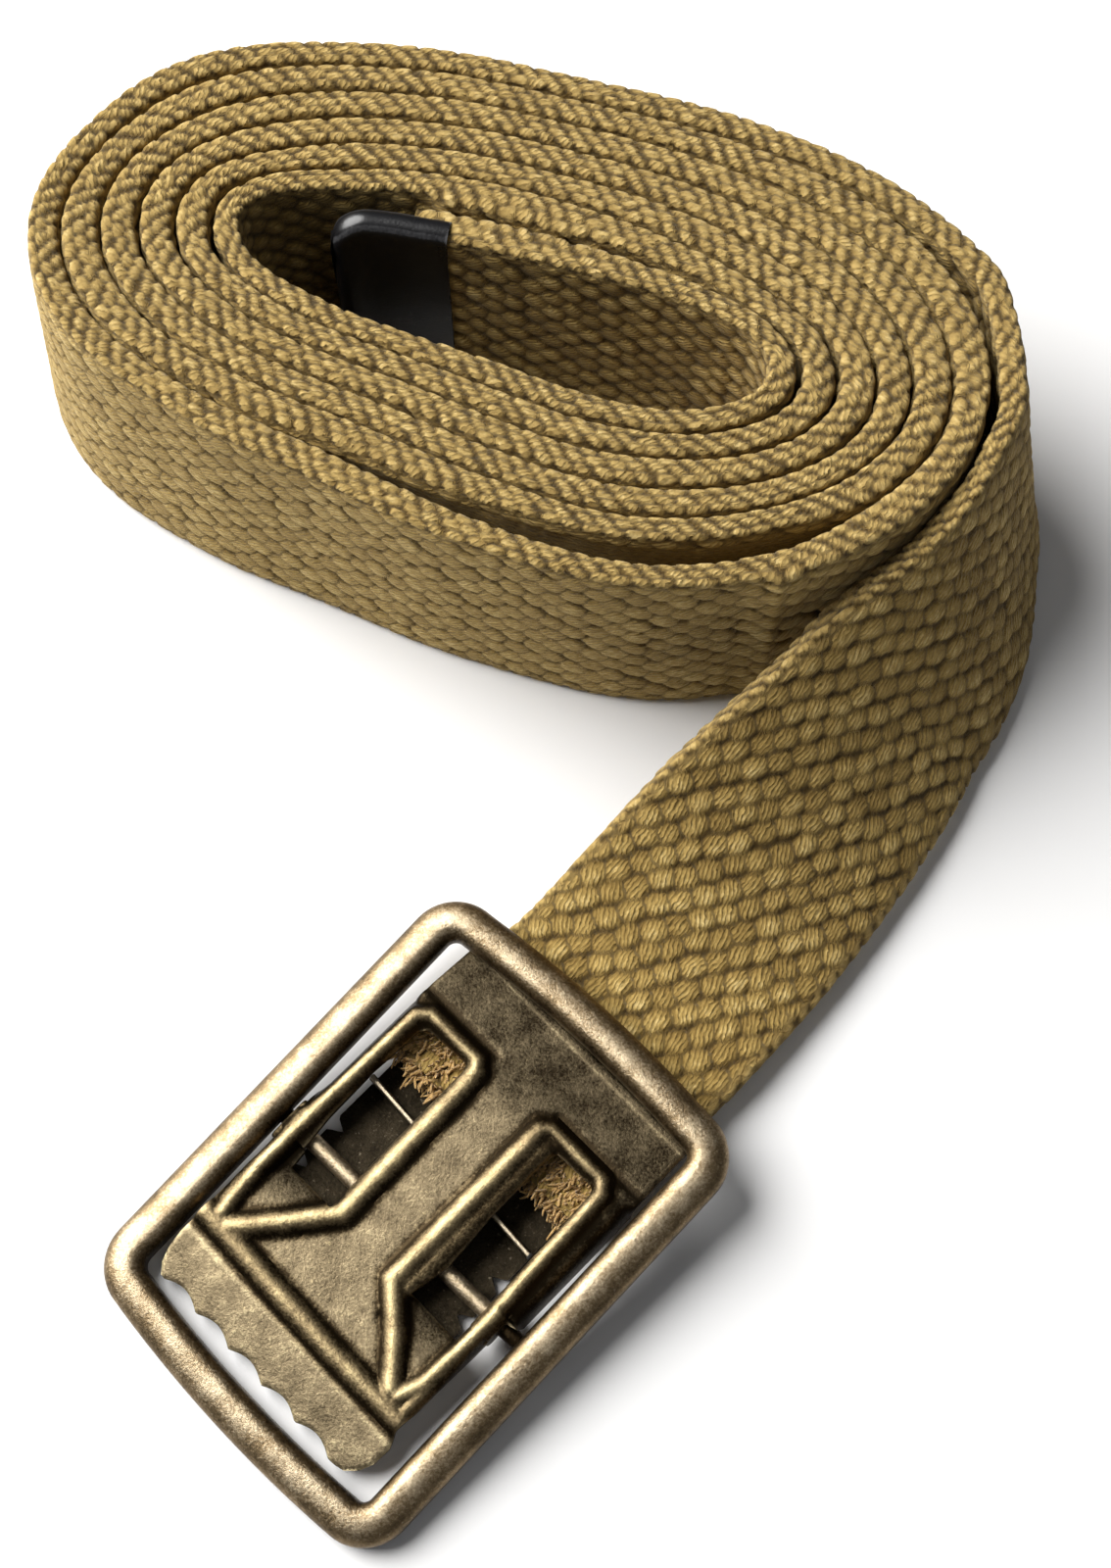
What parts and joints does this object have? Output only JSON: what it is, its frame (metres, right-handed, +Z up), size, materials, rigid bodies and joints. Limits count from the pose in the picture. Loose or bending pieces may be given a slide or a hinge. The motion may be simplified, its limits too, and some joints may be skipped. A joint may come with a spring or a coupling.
{
  "type": "trouser belt",
  "caption": "Cotton web belt coiled on its edge in an oval spiral, its outer end twisting down to an open-frame brass buckle lying flat.",
  "frame": {"origin": "middle of the footprint, on the surface that the belt rests on", "axes": "+Z up; +X along the coil, to the right of the picture; +Y from the buckle to the coil"},
  "size_m": [0.1234, 0.1702, 0.032],
  "materials": {
    "cotton_webbing": "coarse woven",
    "black_metal": "gloss",
    "antique_brass": "antique, rubbed",
    "dark_brass": "tarnished"
  },
  "bodies": {
    "belt": {"webbing": "cotton_webbing", "belt_tip": "black_metal", "buckle_plate": "antique_brass", "webbing_clip": "dark_brass"},
    "frame": {"buckle_frame": "antique_brass"}
  },
  "joints": [
    {"name": "frame_swing", "type": "hinge", "parent": "belt", "child": "frame", "pos_m": [-0.01508, -0.0517, 0.00301], "axis": [0.7242, -0.6896, 0], "range_deg": [0, 160]}
  ]
}
